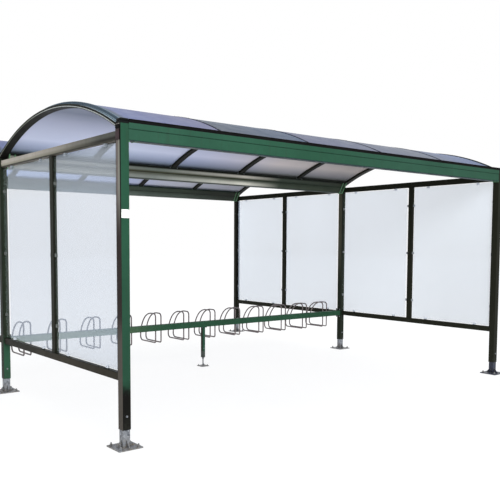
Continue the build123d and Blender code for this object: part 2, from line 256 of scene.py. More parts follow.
def clip(name):
    """Clips that hold the glass: dull where they sit on the frame, pale where they reach over the glass."""
    t = Tree(name)
    x, y, z = t.xyz()
    cloud = t.noise(30.0, 4.0, 0.6)
    ay = t.math("ABSOLUTE", y)
    off = t.math("ABSOLUTE", t.math("SUBTRACT", ay, 1.25))
    frame_part = t.math("MAXIMUM", t.span(ay, 0.034, 0.036, 1.0, 0.0), t.span(off, 0.033, 0.035, 1.0, 0.0))
    frame_part = t.math("MAXIMUM", frame_part, t.span(ay, 2.464, 2.466))
    frame_part = t.math("MAXIMUM", frame_part, t.span(z, 2.277, 2.279))
    frame_part = t.math("MAXIMUM", frame_part, t.span(z, 0.564, 0.566, 1.0, 0.0))
    low = t.mix(t.span(cloud, 0.3, 0.7), look(206, 211, 219, G_SIDE), look(216, 221, 229, G_SIDE))
    high = t.mix(t.span(cloud, 0.3, 0.7), look(150, 158, 166, G_SIDE), look(162, 170, 178, G_SIDE))
    grey = t.mix(t.span(cloud, 0.3, 0.7), look(84, 88, 84, G_SIDE), look(104, 108, 104, G_SIDE))
    left = t.mix(t.span(z, 2.19, 2.21), t.mix(t.span(z, 0.62, 0.64), low, grey), high)
    right = t.mix(t.span(z, 2.19, 2.21), t.mix(t.span(z, 0.62, 0.64), low, look(138, 142, 144, G_SIDE)), low)
    pale = t.mix(t.span(x, -0.1, 0.1), left, right)
    dull = t.mix(t.span(cloud, 0.3, 0.7), lin(38, 44, 38), lin(54, 58, 52))
    c = t.mix(frame_part, pale, dull)
    r = t.span(t.noise(60.0, 3.0, 0.5), 0.3, 0.7, 0.5, 0.65)
    p = t.principled(Base_Color=c, Roughness=r, Normal=t.bump(t.noise(200.0, 3.0, 0.6), 0.2, 0.0005))
    p.inputs["Specular IOR Level"].default_value = 0.05
    return t.finish(p.outputs[0])


def glass(name):
    """Clear safety glazing: nearly invisible, with a faint green cast and green edges."""
    t = Tree(name)
    nx, ny, nz = t.normal()
    haze = t.noise(1.1, 3.0, 0.5, t.mapped((1, 1, 0.7)))
    c = t.mix(t.span(haze, 0.3, 0.7), lin(196, 212, 212), lin(212, 222, 222))
    edge = t.span(t.math("ABSOLUTE", nx), 0.4, 0.6, 1.0, 0.0)
    c = t.mix(edge, c, lin(150, 190, 176))
    r = t.span(t.noise(14.0, 4.0, 0.6), 0.3, 0.7, 0.22, 0.34)
    p = t.principled(Base_Color=c, Roughness=r)
    p.inputs["Alpha"].default_value = 0.04
    p.inputs["Specular IOR Level"].default_value = 0.03
    return t.finish(p.outputs[0])


def ramp(t, value, stops):
    """Colours given at rising positions along a value."""
    c = stops[0][1]
    for (a, _), (b, col) in zip(stops, stops[1:]):
        c = t.mix(t.span(value, a, b), c, col)
    return c


def cover(name):
    """Cover strips: dark over the joints of the sheets, paler over their ends."""
    t = Tree(name)
    x, y, z = t.xyz()
    cloud = t.noise(9.0, 4.0, 0.6)
    joint = t.mix(t.span(cloud, 0.3, 0.7), look(24, 28, 48, G_OUT), look(36, 40, 62, G_OUT))
    end = t.mix(t.span(cloud, 0.3, 0.7), look(92, 108, 122, 1.3), look(108, 122, 134, 1.3))
    right = t.mix(t.span(cloud, 0.3, 0.7), look(34, 36, 52, G_OUT), look(46, 48, 66, G_OUT))
    c = t.mix(t.span(x, -2.42, -2.40, 1.0, 0.0), joint, end)
    c = t.mix(t.span(x, 2.40, 2.42), c, right)
    r = t.span(t.noise(24.0, 3.0, 0.5), 0.3, 0.7, 0.5, 0.65)
    p = t.principled(Base_Color=c, Roughness=r, Normal=t.bump(t.noise(600.0, 2.0, 0.5), 0.12, 0.0004))
    p.inputs["Specular IOR Level"].default_value = 0.01
    return t.finish(p.outputs[0])


def film(name, colour, along, up):
    """Pale see-through film behind the glass, very slightly cloudy."""
    t = Tree(name)
    x, y, z = t.xyz()
    haze = t.noise(0.9, 3.0, 0.5, t.mapped((1, 1, 0.6)))
    c = t.mix(t.span(haze, 0.3, 0.7), shade(colour, 0.985), shade(colour, 1.015))
    c = t.mix(1.0, c, ramp(t, y, [(v, (k, k, k, 1)) for v, k in along]), "MULTIPLY")
    c = t.mix(1.0, c, ramp(t, z, [(v, (*k, 1)) for v, k in up]), "MULTIPLY")
    p = t.principled(Base_Color=c)
    p.inputs["Roughness"].default_value = 0.9
    p.inputs["Alpha"].default_value = 0.50
    p.inputs["Specular IOR Level"].default_value = 0.0
    return t.finish(p.outputs[0])


def roof(name):
    """Tinted multiwall polycarbonate: its walls run round the arc, and light comes through it. The underside colour is
    painted light and shade.
    """
    t = Tree(name)
    x, y, z = t.xyz()
    nx, ny, nz = t.normal()
    wave = t.math("SINE", t.math("MULTIPLY", x, 2 * math.pi / 0.016))
    cloud = t.noise(0.9, 3.0, 0.55, t.mapped((0.8, 1.6, 1.0)))
    soft = t.noise(2.6, 3.0, 0.5, t.mapped((0.7, 1.5, 1.5)))
    ay = t.math("ABSOLUTE", y)
    # painted light and shade: the underside colour
    inner = ramp(t, ay, ROOF_IN)
    inner = t.mix(1.0, inner, ramp(t, x, ROOF_ALONG), "MULTIPLY")
    inner = t.mix(t.span(cloud, 0.40, 0.70, 0.0, 0.5), inner, t.mix(1.0, inner, (0.90, 0.91, 0.93, 1), "MULTIPLY"))
    inner = t.mix(t.span(soft, 0.50, 0.75, 0.0, 0.5), inner, t.mix(1.0, inner, (1.08, 1.06, 1.04, 1), "MULTIPLY"))
    outer = ramp(t, x, ROOF_OUT)
    outer = t.mix(t.span(cloud, 0.46, 0.72, 0.0, 0.6), outer, t.mix(1.0, outer, (1.12, 1.11, 1.10, 1), "MULTIPLY"))
    outer = t.mix(t.span(soft, 0.5, 0.72, 0.0, 0.6), outer, t.mix(1.0, outer, (0.88, 0.90, 0.92, 1), "MULTIPLY"))
    end = t.span(t.math("ABSOLUTE", x), 2.36, 2.42)
    outer = t.mix(end, outer, ROOF_END)
    c = t.mix(t.span(nz, -0.1, 0.1), inner, outer)
    c = t.mix(t.span(wave, -1.0, 1.0, 0.0, 0.08), c, t.mix(1.0, c, (0.45, 0.48, 0.55, 1), "MULTIPLY"))
    r = t.span(t.noise(8.0, 4.0, 0.6), 0.3, 0.7, 0.30, 0.45)
    b = t.bump(wave, 0.10, 0.0005)
    p = t.principled(Base_Color=c, Roughness=r, Normal=b)
    p.inputs["Specular IOR Level"].default_value = 0.02
    tr = t.node("ShaderNodeBsdfTranslucent")
    t.put(tr.inputs["Color"], c)
    t.put(tr.inputs["Normal"], b)
    m = t.node("ShaderNodeMixShader")
    m.inputs[0].default_value = 0.15
    t.nt.links.new(p.outputs[0], m.inputs[1])
    t.nt.links.new(tr.outputs[0], m.inputs[2])
    return t.finish(m.outputs[0])


# Light on each kind of face, so that colours can be given as they look.
G_FACE, G_SIDE, G_UNDER = 2.0, 0.95, 0.9
G_IN, G_OUT, G_VAL = 0.70, 3.0, 0.78


def look(r, g, b, gain, floor=0.0):
    """Base colour that looks like sRGB (r, g, b) under a light of this strength."""
    c = lin(r, g, b)
    return tuple(max(0.0015, (v - floor) / gain) for v in c[:3]) + (1.0,)


# lit and shaded copies of one film: FILM_RIGHT is paler than FILM_LEFT as painted light, making up for the shade on the
# right wall's inner face
FILM_LEFT = (0.43, 0.48, 0.585, 1.0)
FILM_RIGHT = (0.66, 0.74, 0.85, 1.0)
# painted light and shade on the underside of the sheets: ROOF_IN is brighter where light comes through, darker next to
# the valley and near the crown; ROOF_ALONG darkens and warms it towards +X
ROOF_IN = [
    (0.08, look(100, 104, 116, G_IN)), (0.13, look(118, 130, 146, G_IN)), (0.18, look(142, 152, 175, G_IN)),
    (0.26, look(168, 177, 200, G_IN)), (0.36, look(196, 202, 222, G_IN)), (0.80, look(162, 167, 187, G_IN)),
    (1.15, look(120, 126, 143, G_IN)), (1.60, look(134, 140, 156, G_IN)), (1.95, look(150, 158, 176, G_IN)),
    (2.12, look(176, 190, 224, G_IN)), (2.40, look(188, 204, 240, G_IN)),
]
ROOF_ALONG = [(-1.35, (1.0, 1.0, 1.0, 1)), (-1.15, (0.91, 0.92, 0.93, 1)), (-0.3, (0.77, 0.76, 0.79, 1)), (0.3, (0.75, 0.69, 0.66, 1)), (0.9, (0.79, 0.68, 0.55, 1)), (2.1, (0.60, 0.51, 0.40, 1))]
ROOF_OUT = [
    (-2.30, look(137, 150, 206, G_OUT)), (-1.507, look(146, 148, 192, G_OUT)), (-1.497, look(108, 121, 141, G_OUT)),
    (-0.505, look(106, 126, 160, G_OUT)), (-0.495, look(136, 141, 175, G_OUT)), (0.30, look(147, 154, 182, G_OUT)),
    (1.30, look(159, 166, 183, G_OUT)), (2.10, look(152, 168, 212, G_OUT)),
]
ROOF_END = look(88, 108, 128, G_OUT)
BLACK_FACE = look(34, 34, 33, G_FACE, 0.004)


def post_side(t, s):
    """Side of the front left post: painted reflection near the top, with a painted highlight stripe and a black line
    along the front edge; dark half way down, lighter lower down.
    """
    x, y, z = t.xyz()
    hi = t.span(z, 1.55, 1.95, 0.0, 1.0, smooth=True)
    stripe = t.mix(t.span(y, -2.501, -2.497), look(126, 126, 116, G_SIDE), look(104, 97, 93, G_SIDE))
    stripe = t.mix(t.span(y, -2.521, -2.517), look(20, 20, 19, G_SIDE), stripe)
    s = t.mix(hi, s, stripe)
    low = t.span(z, 0.78, 1.02, 1.0, 0.0, smooth=True)
    return t.mix(low, s, look(75, 70, 65, G_SIDE))


def post_face(t, c):
    """Front of the front left post: black below the height of the rails, and a darker green towards the ground."""
    x, y, z = t.xyz()
    edge = t.math("ADD", z, t.span(t.noise(22.0, 4.0, 0.6), 0.3, 0.7, -0.02, 0.02))
    c = t.mix(t.span(z, 0.50, 1.6, 0.45, 0.0), c, look(48, 80, 64, G_FACE))
    return t.mix(t.span(edge, 0.39, 0.53, 1.0, 0.0, smooth=True), c, BLACK_FACE)


def ml_face(t, c):
    """Front of the middle left post: green near the ground, darker higher up."""
    x, y, z = t.xyz()
    return t.mix(t.span(z, 0.42, 0.62, 1.0, 0.0, smooth=True), c, look(64, 106, 83, G_FACE, 0.004))


def mr_side(t, s):
    """Inner side of the middle right post: lighter towards the top."""
    x, y, z = t.xyz()
    return t.mix(t.span(z, 0.9, 1.7, 0.0, 1.0, smooth=True), s, look(76, 75, 63, G_SIDE))


def trim_side(t, s):
    """Trim round the arch: pale grey, with a painted highlight on the half towards the eave; duller on the half towards
    the valley.
    """
    x, y, z = t.xyz()
    ay = t.math("ABSOLUTE", y)
    return t.mix(t.span(ay, 0.75, 1.25, 1.0, 0.0, smooth=True), s, look(104, 109, 98, G_SIDE))


def low_side(t, s):
    """Left lower rail: darker towards the middle post, with dark corners."""
    x, y, z = t.xyz()
    c = t.mix(t.span(y, -1.05, -0.75, smooth=True), look(49, 46, 39, G_SIDE, 0.004), look(36, 35, 30, G_SIDE, 0.004))
    dark = look(34, 33, 29, G_SIDE, 0.004)
    c = t.mix(t.span(z, 0.553, 0.558), c, dark)
    return t.mix(t.span(z, 0.501, 0.505, 1.0, 0.0), c, dark)


def rail_side(t, s):
    """Left upper rail: painted reflection, pale away from the front post, with painted shade on its lower part."""
    x, y, z = t.xyz()
    far = t.span(y, -2.20, -0.80, 0.0, 1.0)
    top = t.mix(far, look(74, 75, 70, G_SIDE), look(158, 152, 143, G_SIDE))
    mid = t.mix(far, look(34, 32, 28, G_SIDE), look(138, 135, 121, G_SIDE))
    low = look(52, 52, 45, G_SIDE)
    c = t.mix(t.span(z, 2.300, 2.318), mid, top)
    return t.mix(t.span(z, 2.286, 2.294), low, c)


def v_look(stops):
    return [(x, look(*c, G_VAL)) for x, c in stops]


# painted light and shade on the valley gutter's slope: V_UP and V_LOW are painted highlights; V_CREASE and V_MID are
# painted shade at the fold
V_UP = v_look([(-2.3, (140, 138, 128)), (-0.7, (96, 104, 96)), (0.6, (178, 174, 164)), (1.2, (56, 64, 56)), (2.4, (48, 52, 45))])
V_CREASE = v_look([(-2.3, (62, 60, 46)), (0.6, (58, 62, 48)), (1.2, (44, 52, 43))])
V_MID = v_look([(-2.3, (86, 86, 74)), (0.5, (80, 86, 76)), (1.2, (46, 54, 45))])
V_LOW = v_look([(-2.3, (142, 142, 130)), (-0.7, (124, 130, 124)), (0.6, (208, 207, 194)), (1.2, (60, 68, 58)), (2.4, (51, 57, 47))])
# painted shade: R_UP and R_LOW colour the rear gutter's slope as a darker copy of the green paint
R_UP = v_look([(0.4, (60, 70, 60)), (2.1, (44, 47, 42))])
R_LOW = v_look([(0.4, (86, 96, 89)), (2.1, (50, 55, 49))])


def slope_only(t, c, painted):
    """Keep a colour to the inner slope that faces the front."""
    nx, ny, nz = t.normal()
    m = t.math("MULTIPLY", t.span(ny, -0.97, -0.93, 0.0, 1.0), t.span(ny, -0.6, -0.4, 1.0, 0.0))
    return t.mix(m, c, painted)


def valley_face(t, c):
    """Valley gutter: painted highlights, pale over broad stretches, with painted shade at the fold half way down and
    under the flange, and darker along the foot.
    """
    x, y, z = t.xyz()
    upper = t.mix(t.span(z, 2.352, 2.374, smooth=True), ramp(t, x, V_CREASE), ramp(t, x, V_UP))
    upper = t.mix(t.span(z, 2.386, 2.402, smooth=True), upper, look(24, 27, 24, G_VAL))
    lower = t.mix(t.span(z, 2.296, 2.338, 1.0, 0.0, smooth=True), ramp(t, x, V_MID), ramp(t, x, V_LOW))
    lower = t.mix(t.span(z, 2.274, 2.285, 1.0, 0.0, smooth=True), lower, look(52, 58, 56, G_VAL))
    return slope_only(t, c, t.mix(t.span(z, 2.344, 2.350), lower, upper))


def green_face(t, c):
    """Fascia: a little chalkier towards its ends."""
    x, y, z = t.xyz()
    chalk = [(-2.4, (1.36, 1.15, 1.27, 1)), (-1.7, (1.22, 1.09, 1.17, 1)), (-0.55, (1.03, 0.98, 1.0, 1)), (0.85, (1.30, 1.05, 1.18, 1)), (2.4, (1.18, 1.03, 1.10, 1))]
    return t.mix(1.0, c, ramp(t, x, chalk), "MULTIPLY")


def bar_face(t, c):
    """Rack bar: turns slowly paler towards the left wall."""
    x, y, z = t.xyz()
    return t.mix(t.span(x, -2.2, -0.4, smooth=True), look(118, 136, 106, 1.3), c)


def rear_face(t, c):
    """Rear gutter: the front slope is a darker green of painted shade, a little lighter towards its foot, with painted
    shade under the flange.
    """
    x, y, z = t.xyz()
    body = t.mix(t.span(z, 2.285, 2.36, 1.0, 0.0, smooth=True), ramp(t, x, R_UP), ramp(t, x, R_LOW))
    body = t.mix(t.span(z, 2.395, 2.410, smooth=True), body, look(25, 35, 29, G_VAL))
    return slope_only(t, c, body)


M = {}
# GREEN is the green paint as it looks lit from the front; SIDE is painted shade
GREEN = look(54, 100, 78, G_FACE, 0.004)
SIDE = look(46, 46, 39, G_SIDE, 0.004)
M["green"] = paint("paint_green", GREEN, SIDE, look(37, 50, 54, G_UNDER), face_fn=green_face)
M["green_post"] = paint("paint_green_post", GREEN, look(44, 38, 36, G_SIDE, 0.004), look(45, 60, 65, G_UNDER), seed=1.7, side_fn=post_side, face_fn=post_face)
# painted shade: the middle posts' faces are darker copies of the green paint; ml_face keeps the lit green near the
# ground
M["ml_post"] = paint("paint_middle_post", look(54, 62, 50, G_FACE, 0.004), look(40, 44, 38, G_SIDE, 0.004), look(30, 33, 28, G_UNDER), seed=4.9, face_fn=ml_face)
# painted shade: mr_side makes this post's inner side lighter towards the top
M["mr_post"] = paint("paint_middle_right_post", look(54, 60, 52, G_FACE, 0.004), look(36, 40, 33, G_SIDE, 0.004), look(30, 33, 28, G_UNDER), seed=6.1, side_fn=mr_side)
# painted shade: the valley gutter is a darker copy of the green paint, with painted highlights on its slope
M["valley"] = paint("paint_valley", look(48, 56, 46, G_VAL), SIDE, look(44, 52, 42, G_UNDER), seed=3.1, face_fn=valley_face, streaks=0.12)
M["green_dull"] = paint("paint_green_dull", GREEN, SIDE, look(44, 54, 46, G_UNDER), seed=3.1, face_fn=rear_face, streaks=0.12)
# painted shade: a near-black copy of the green paint for the parts in shade, the right and rear posts, mullions and
# right rails
M["dark"] = paint("paint_dark", look(46, 48, 41, G_FACE, 0.004), look(36, 37, 31, G_SIDE, 0.004), look(30, 33, 28, G_UNDER), seed=5.7)
# painted shade: the left lower rail is a near-black copy of the green paint
M["low_rail"] = paint("paint_low_rail", look(46, 48, 41, G_FACE, 0.004), look(49, 46, 39, G_SIDE, 0.004), look(30, 33, 28, G_UNDER), seed=8.3, side_fn=low_side)
# painted shade: arches, ribs and their cleats are a near-black copy of the green paint, with painted light on their
# tops
M["arch"] = paint("paint_arch", look(38, 38, 32, G_FACE, 0.004), look(38, 39, 33, G_SIDE, 0.004), look(24, 24, 22, G_UNDER), top=look(108, 126, 138, 1.05), seed=7.9)
M["arch_line"] = paint("paint_arch_line", look(150, 154, 152, G_SIDE), look(150, 154, 152, G_SIDE), look(90, 92, 86, G_UNDER), seed=2.9, spec=0.03, streaks=0.15, side_fn=trim_side)
M["beige_rail"] = paint("paint_rail", look(60, 58, 50, G_FACE), look(88, 84, 76, G_SIDE), look(62, 56, 48, G_UNDER), seed=9.2, side_fn=rail_side)
M["bar_green"] = paint("paint_bar", look(57, 100, 76, G_FACE), SIDE, look(36, 48, 44, G_UNDER), seed=4.4, top=look(62, 96, 76, 1.6), face_fn=bar_face)
M["socket"] = plastic("socket_plastic", lin(52, 58, 56), lin(66, 72, 68))
M["bracket"] = paint("paint_bracket", look(50, 40, 42, G_FACE), look(62, 50, 52, G_SIDE), look(50, 40, 42, G_UNDER), seed=5.2, streaks=0.15)
# painted shade: the seam strips are a near-black copy of the green paint for the shade in the fold
M["fold"] = paint("paint_fold", look(30, 34, 28, G_FACE), look(30, 34, 28, G_SIDE), look(26, 28, 24, G_UNDER), seed=4.4)
# painted highlight: the collars and gutter rivets are a pale, lit copy of the green paint, as their end faces catch the
# light
M["collar"] = paint("paint_collar", look(92, 138, 100, 0.8), look(104, 148, 112, G_SIDE), look(60, 84, 68, G_UNDER), seed=6.6)
# painted shade: the drip edge is a dark slate copy of the green paint for the shade along the fascia's lower edge
M["drip"] = paint("paint_drip", look(46, 66, 66, G_FACE), look(46, 60, 58, G_SIDE), look(52, 66, 74, G_UNDER), seed=6.9)
M["weld"] = galvanised("weld_metal", lin(112, 112, 110), lin(66, 68, 68), 0.5, 220.0)
M["zinc"] = galvanised("zinc", lin(150, 154, 160), lin(80, 84, 92), 0.6)
M["zinc_dull"] = galvanised("zinc_dull", lin(34, 40, 60), lin(20, 24, 38), 0.10, dirt=lin(28, 32, 46))
M["hoop"] = galvanised("zinc_weathered", lin(120, 110, 110), lin(84, 76, 78), 0.3, 90.0)
M["steel"] = galvanised("zinc_bright", lin(140, 143, 148), lin(92, 96, 104), 0.6)
M["dark_screw"] = plastic("screw_painted", lin(30, 34, 28), lin(48, 52, 44))
M["black_plastic"] = plastic("plastic_black", lin(10, 13, 13), lin(17, 20, 20), spec=0.05)
M["rubber"] = plastic("rubber_black", lin(9, 9, 9), lin(16, 16, 16), (0.6, 0.8), 0.35, 0.04)
M["cover"] = cover("cover_strip")
M["edge_profile"] = plastic("edge_profile", look(60, 68, 84, 1.4), look(86, 94, 108, 1.4), (0.3, 0.45), 0.15, 0.1)
M["grey_plastic"] = plastic("plastic_grey", lin(70, 74, 74), lin(90, 93, 92))
M["label"] = plastic("plastic_white", lin(236, 238, 236), lin(250, 250, 248), (0.3, 0.4), 0.1)
M["clip"] = clip("clip_metal")
M["liner"] = clip("clip_liner")
M["glass"] = glass("glazing")
M["film_left"] = film("film_pale_left", FILM_LEFT, [(-2.5, 1.0), (2.5, 1.0)], [(0.5, (1.0, 1.0, 1.0)), (1.90, (1.0, 1.0, 1.0)), (2.05, (0.985, 0.96, 0.90)), (2.3, (0.985, 0.96, 0.90))])
# painted light and shade: the right film is brighter towards the top and the back, darker towards the front and the
# foot
M["film_right"] = film("film_pale_right", FILM_RIGHT, [(-2.4, 0.78), (-1.85, 0.84), (-1.25, 0.97), (-0.6, 1.06), (0.6, 1.16), (1.8, 1.10)], [(0.6, (0.80, 0.80, 0.80)), (1.4, (0.985, 0.985, 0.985)), (2.2, (1.25, 1.26, 1.27))])
M["roof"] = roof("polycarbonate")

ASSIGN = {
    "front_left_post": "green_post", "front_gutter": "green", "rack_bar": "bar_green", "rack_leg": "green",
    "rear_gutter": "green_dull", "valley_gutter": "valley",
    "front_right_post": "dark", "middle_left_post": "ml_post", "middle_right_post": "mr_post",
    "rear_left_post": "dark", "rear_right_post": "dark", "wall_mullions": "dark",
    "left_upper_rail": "beige_rail", "left_lower_rail": "low_rail", "right_upper_rail": "dark", "right_lower_rail": "dark",
    "front_left_arch": "arch", "front_right_arch": "arch", "rear_left_arch": "arch", "rear_right_arch": "arch",
    "front_ribs": "arch", "rear_ribs": "arch",
    "front_roof_sheets": "roof", "rear_roof_sheets": "roof", "roof_cover_strips": "cover",
    "gutter_edge_seals": "rubber", "post_caps": "black_plastic", "glass_clips": "clip",
    "rack_leg_socket": "socket", "rack_leg_foot": "zinc", "label_plate": "label",
    "front_right_foot": "zinc_dull",
}
for name, obj in NODES.items():
    key = ASSIGN.get(name)
    if key is None:
        key = "zinc" if name.endswith("_foot") else "glass" if name.endswith("_glass") else "hoop" if name.startswith("wheel_holders") else "dark"
    obj.data.materials.clear()
    obj.data.materials.append(M[key])
    for p in obj.data.polygons:
        p.material_index = 0


# ------------------------------------------------------------ detail pieces
class Piece:
    """Many small shapes in one mesh. Everything is given in millimetres."""

    def __init__(self, name, material, slot=None, angle=35.0):
        self.name, self.material, self.slot, self.angle = name, material, slot, angle
        self.v, self.f = [], []

    def add(self, verts, faces):
        k = len(self.v)
        self.v.extend(verts)
        self.f.extend(tuple(i + k for i in face) for face in faces)

    def frame(self, axis):
        a = Vector(axis).normalized()
        ref = Vector((0, 0, 1)) if abs(a.z) < 0.9 else Vector((1, 0, 0))
        u = ref.cross(a).normalized()
        return u, a.cross(u), a

    def lathe(self, centre, axis, profile, seg=20, twist=0.0, cap=True):
        """profile is (radius, height) along the axis, from the base upwards."""
        u, w, a = self.frame(axis)
        c = Vector(centre)
        verts, faces = [], []
        for r, h in profile:
            for k in range(seg):
                t = 2 * math.pi * k / seg + twist
                verts.append(c + a * h + u * (r * math.cos(t)) + w * (r * math.sin(t)))
        for i in range(len(profile) - 1):
            for k in range(seg):
                n = (k + 1) % seg
                faces.append((i * seg + k, i * seg + n, (i + 1) * seg + n, (i + 1) * seg + k))
        if cap:
            faces.append(tuple(reversed(range(seg))))
            top = (len(profile) - 1) * seg
            faces.append(tuple(range(top, top + seg)))
        self.add(verts, faces)

    def washer(self, centre, axis, r, h):
        self.lathe(centre, axis, [(r, 0), (r, h - 0.4), (r - 0.5, h)], 24)

    def hexagon(self, centre, axis, flats, h, twist=0.0):
        r = flats / math.sqrt(3)
        self.lathe(centre, axis, [(r, 0), (r, h * 0.86), (r * 0.88, h)], 6, twist)

    def stud(self, centre, axis, r, h):
        """Threaded end: small ridges and a chamfered tip."""
        prof = [(r, 0)]
        n = max(2, int(h / 1.6))
        for k in range(n):
            z = h * (k + 0.5) / (n + 1)
            prof.append((r if k % 2 else r * 0.93, z))
        prof += [(r, h - r * 0.25), (r * 0.75, h)]
        self.lathe(centre, axis, prof, 14)

    def bolt(self, centre, axis, flats, h, twist=0.0):
        """Washer and hexagon head."""
        a = Vector(axis).normalized()
        self.washer(centre, axis, flats * 0.68, 2.0)
        self.hexagon(Vector(centre) + a * 2.0, axis, flats, h, twist)

    def dome(self, centre, axis, r, h, seg=14):
        prof = [(r, 0), (r, h * 0.25), (r * 0.94, h * 0.55), (r * 0.72, h * 0.84), (r * 0.36, h * 0.98)]
        self.lathe(centre, axis, prof, seg)

    def box(self, x0, x1, y0, y1, z0, z1, b=0.0, turn=None):
        """Box with chamfered edges; turn is (pivot, axis letter, degrees)."""
        c = Vector(((x0 + x1) / 2, (y0 + y1) / 2, (z0 + z1) / 2))
        h = Vector((abs(x1 - x0) / 2, abs(y1 - y0) / 2, abs(z1 - z0) / 2))
        b = min(b, h.x * 0.45, h.y * 0.45, h.z * 0.45)
        verts, faces = [], []
        if b <= 0:
            for sx in (-1, 1):
                for sy in (-1, 1):
                    for sz in (-1, 1):
                        verts.append(c + Vector((sx * h.x, sy * h.y, sz * h.z)))
            faces = [(0, 1, 3, 2), (4, 6, 7, 5), (0, 4, 5, 1), (2, 3, 7, 6), (0, 2, 6, 4), (1, 5, 7, 3)]
        else:
            idx = {}
            for sx in (-1, 1):
                for sy in (-1, 1):
                    for sz in (-1, 1):
                        for ax in range(3):
                            d = [h.x - b, h.y - b, h.z - b]
                            d[ax] = (h.x, h.y, h.z)[ax]
                            idx[(sx, sy, sz, ax)] = len(verts)
                            verts.append(c + Vector((sx * d[0], sy * d[1], sz * d[2])))
            sg = (-1, 1)
            for s in sg:
                q = [(s, -1, -1), (s, 1, -1), (s, 1, 1), (s, -1, 1)]
                faces.append(tuple(idx[(*p, 0)] for p in (q if s > 0 else q[::-1])))
                q = [(-1, s, -1), (1, s, -1), (1, s, 1), (-1, s, 1)]
                faces.append(tuple(idx[(*p, 1)] for p in (q[::-1] if s > 0 else q)))
                q = [(-1, -1, s), (1, -1, s), (1, 1, s), (-1, 1, s)]
                faces.append(tuple(idx[(*p, 2)] for p in (q if s > 0 else q[::-1])))
            for s in sg:
                for r in sg:
                    e = [idx[(s, r, -1, 0)], idx[(s, r, 1, 0)], idx[(s, r, 1, 1)], idx[(s, r, -1, 1)]]
                    faces.append(tuple(e if s * r < 0 else e[::-1]))
                    e = [idx[(s, -1, r, 0)], idx[(s, 1, r, 0)], idx[(s, 1, r, 2)], idx[(s, -1, r, 2)]]
                    faces.append(tuple(e if s * r > 0 else e[::-1]))
                    e = [idx[(-1, s, r, 1)], idx[(1, s, r, 1)], idx[(1, s, r, 2)], idx[(-1, s, r, 2)]]
                    faces.append(tuple(e if s * r < 0 else e[::-1]))
                    for q in sg:
                        t = [idx[(s, r, q, 0)], idx[(s, r, q, 1)], idx[(s, r, q, 2)]]
                        faces.append(tuple(t if s * r * q > 0 else t[::-1]))
        if turn:
            pivot, letter, deg = turn
            m = Matrix.Translation(pivot) @ Matrix.Rotation(math.radians(deg), 4, letter) @ Matrix.Translation(-Vector(pivot))
            verts = [m @ v for v in verts]
        self.add(verts, faces)

    def prism_x(self, outline, x0, x1):
        """Closed (y, z) outline between two X planes."""
        n = len(outline)
        verts = [Vector((x0, y, z)) for y, z in outline] + [Vector((x1, y, z)) for y, z in outline]
        faces = [(k, (k + 1) % n, n + (k + 1) % n, n + k) for k in range(n)]
        faces.append(tuple(reversed(range(n))))
        faces.append(tuple(range(n, 2 * n)))
        self.add(verts, faces)

    def sweep(self, points, r, seg=8, closed=False, wave=0.0, step=None):
        """Round bar along a path; wave gives the ripples of a weld."""
        pts = [Vector(p) for p in points]
        if closed:
            pts.append(pts[0])
        if step:
            dense = []
            for a, b in zip(pts, pts[1:]):
                n = max(1, int((b - a).length / step))
                dense.extend(a.lerp(b, k / n) for k in range(n))
            dense.append(pts[-1])
            pts = dense
        verts, faces = [], []
        for i, p in enumerate(pts):
            d = (pts[min(i + 1, len(pts) - 1)] - pts[max(i - 1, 0)]).normalized()
            u, w, _ = self.frame(d)
            k = r * (1.0 + (wave if i % 2 else -wave) + (random.uniform(-0.5, 0.5) * wave if wave else 0.0))
            for s in range(seg):
                t = 2 * math.pi * s / seg
                verts.append(p + u * (k * math.cos(t)) + w * (k * math.sin(t)))
        for i in range(len(pts) - 1):
            for s in range(seg):
                n = (s + 1) % seg
                faces.append((i * seg + s, i * seg + n, (i + 1) * seg + n, (i + 1) * seg + s))
        faces.append(tuple(reversed(range(seg))))
        last = (len(pts) - 1) * seg
        faces.append(tuple(range(last, last + seg)))
        self.add(verts, faces)

    def band(self, r0, r1, x0, x1, cy, a0, a1, seg=72):
        """Curved bar of the vault between two angles from the crown, in degrees."""
        verts, faces = [], []
        for k in range(seg + 1):
            a = math.radians(a0 + (a1 - a0) * k / seg)
            for r, x in ((r0, x0), (r1, x0), (r1, x1), (r0, x1)):
                verts.append(Vector((x, cy + r * math.sin(a), ARC_Z + r * math.cos(a))))
        for k in range(seg):
            for s in range(4):
                n = (s + 1) % 4
                faces.append((k * 4 + s, k * 4 + n, (k + 1) * 4 + n, (k + 1) * 4 + s))
        faces.append((3, 2, 1, 0))
        faces.append(tuple(seg * 4 + s for s in range(4)))
        self.add(verts, faces)

    def panel_x(self, x, y0, y1, z0, z1, rows=6):
        """Flat sheet facing along X, with no thickness."""
        verts = []
        for k in range(rows + 1):
            z = z0 + (z1 - z0) * k / rows
            verts.append(Vector((x, y0, z)))
            verts.append(Vector((x, y1, z)))
        self.add(verts, [(2 * k, 2 * k + 1, 2 * k + 3, 2 * k + 2) for k in range(rows)])

    def emit(self, closed=True):
        me = bpy.data.meshes.new(self.name)
        me.from_pydata([tuple(v * 0.001) for v in self.v], [], self.f)
        me.validate()
        if closed:
            bm = bmesh.new()
            bm.from_mesh(me)
            bmesh.ops.recalc_face_normals(bm, faces=bm.faces)
            bm.to_mesh(me)
            bm.free()
        for p in me.polygons:
            p.use_smooth = True
        me.set_sharp_from_angle(angle=math.radians(self.angle))
        me.materials.append(M[self.material])
        o = bpy.data.objects.new(self.name, me)
        bpy.context.scene.collection.objects.link(o)
        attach(o, "root")
        return o


POSTS = [(sx * 2465.0, ry, sx) for sx in (-1, 1) for ry in (-2500.0, 0.0, 2500.0)]
ARC_Z, ARC_Y = -34.0, 1250.0
RIBS_X = (-1502.0, -500.0, 500.0, 1502.0)


def arc_z(r, dy):
    return ARC_Z + math.sqrt(r * r - dy * dy)


